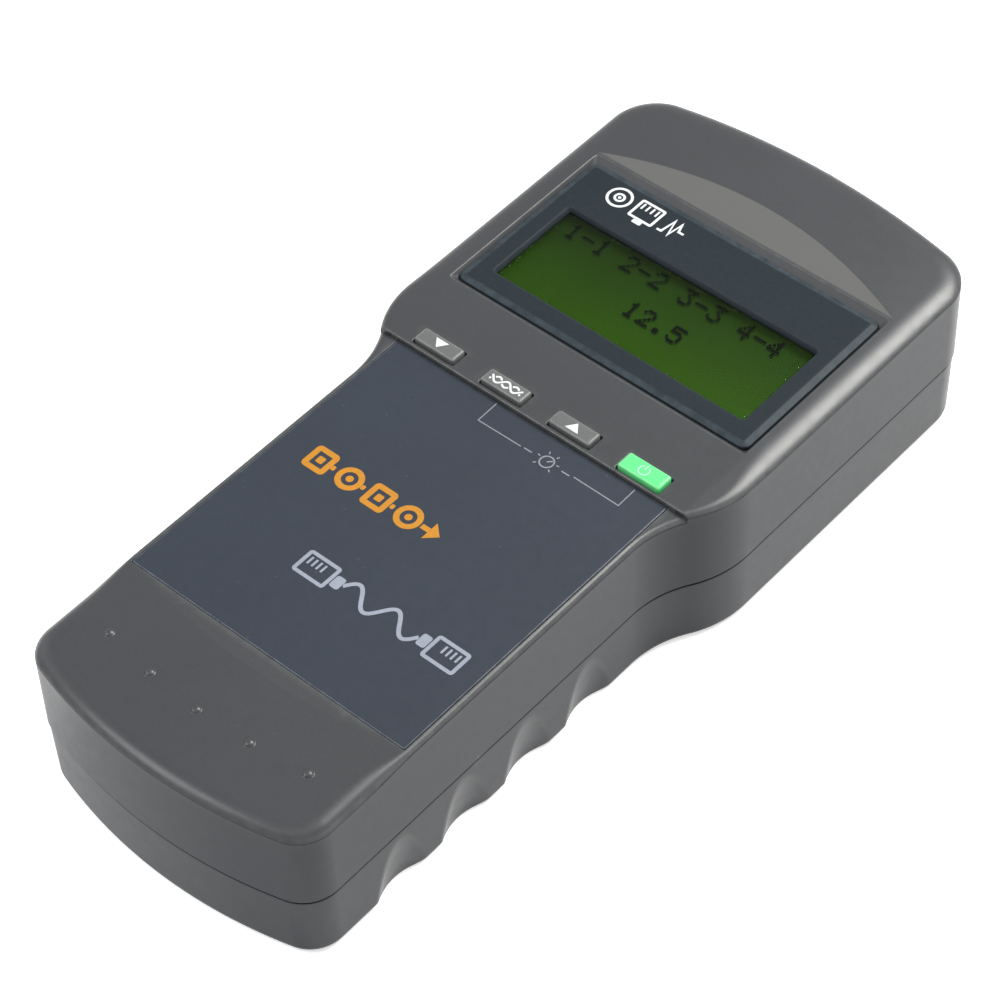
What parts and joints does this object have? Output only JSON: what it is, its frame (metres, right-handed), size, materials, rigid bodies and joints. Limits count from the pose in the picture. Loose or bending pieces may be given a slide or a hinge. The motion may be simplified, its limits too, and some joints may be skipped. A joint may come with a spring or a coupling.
{
  "type": "network cable tester",
  "caption": "Hand-held network cable tester with a display, keys, two modular sockets in its wide head and a battery bay in its grip.",
  "frame": {"origin": "centre of the bounding box's bottom face: the case lies on its back, so z = 0 is the flat back face", "axes": "+Y towards the socket end, +X to the right seen from the face, +Z out of the face"},
  "size_m": [0.0806, 0.1836, 0.0356],
  "materials": {
    "case_front": "fine spark-grain moulded ABS, dark warm grey",
    "case_rear": "fine spark-grain moulded ABS, dark warm grey",
    "label": "printed polycarbonate overlay, dark slate blue, fine grain",
    "bezel": "back-printed polycarbonate frame, dark slate blue, smooth",
    "window": "clear polycarbonate",
    "lcd": "green transflective liquid crystal panel",
    "lcd_frame_metal": "black painted pressed steel",
    "diffuser": "edge-lit acrylic light guide",
    "board": "green solder mask",
    "key_grey": "moulded key cap",
    "key_green": "moulded bright green key cap",
    "black_plastic": "moulded",
    "socket_plastic": "glass-filled moulded socket body",
    "gold_contact": "gold-plated spring wires",
    "steel": "nickel-plated steel",
    "cell_jacket": "printed shrink sleeve, no wording",
    "lead_red": "vinyl insulation",
    "capacitor_sleeve": "shrink sleeve"
  },
  "bodies": {
    "case": {"front_shell": "case_front", "rear_shell": "case_rear", "face_label": "label", "display_bezel": "bezel", "display_window": "window", "lcd_glass": "lcd", "lcd_frame": "lcd_frame_metal", "lcd_backlight": "diffuser", "lcd_board": "board", "lcd_header": "black_plastic", "main_board": "board", "switch_down": "black_plastic", "switch_select": "black_plastic", "switch_up": "black_plastic", "switch_power": "black_plastic", "port_main": "socket_plastic", "port_loopback": "socket_plastic", "port_main_contacts": "gold_contact", "port_loopback_contacts": "gold_contact", "battery_cell_1": "cell_jacket", "battery_cell_2": "cell_jacket", "battery_cell_3": "cell_jacket", "battery_cell_4": "cell_jacket", "contact_negative": "steel", "contact_link_1": "steel", "contact_link_2": "steel", "contact_link_3": "steel", "contact_positive": "steel", "battery_lead_red": "lead_red", "battery_lead_black": "black_plastic", "buzzer": "black_plastic", "controller_chip": "black_plastic", "switch_chip_left": "black_plastic", "switch_chip_right": "black_plastic", "crystal": "steel", "capacitor": "capacitor_sleeve", "case_screw_1": "steel", "case_screw_2": "steel", "case_screw_3": "steel", "case_screw_4": "steel", "board_screw_1": "steel", "board_screw_2": "steel", "board_screw_3": "steel", "board_screw_4": "steel"},
    "battery_door": {"battery_door": "case_rear"},
    "key_down": {"key_down": "key_grey"},
    "key_select": {"key_select": "key_grey"},
    "key_up": {"key_up": "key_grey"},
    "key_power": {"key_power": "key_green"}
  },
  "joints": [
    {"name": "key_down_press", "type": "slide", "parent": "case", "child": "key_down", "axis": [0, 0, -1], "range_m": [0, 0.0008], "stiffness_N_per_m": 600},
    {"name": "key_select_press", "type": "slide", "parent": "case", "child": "key_select", "axis": [0, 0, -1], "range_m": [0, 0.0008], "stiffness_N_per_m": 600},
    {"name": "key_up_press", "type": "slide", "parent": "case", "child": "key_up", "axis": [0, 0, -1], "range_m": [0, 0.0008], "stiffness_N_per_m": 600},
    {"name": "key_power_press", "type": "slide", "parent": "case", "child": "key_power", "axis": [0, 0, -1], "range_m": [0, 0.0008], "stiffness_N_per_m": 600},
    {"name": "battery_door_lift", "type": "slide", "parent": "case", "child": "battery_door", "axis": [0, 0, -1], "range_m": [0, 0.03]}
  ]
}
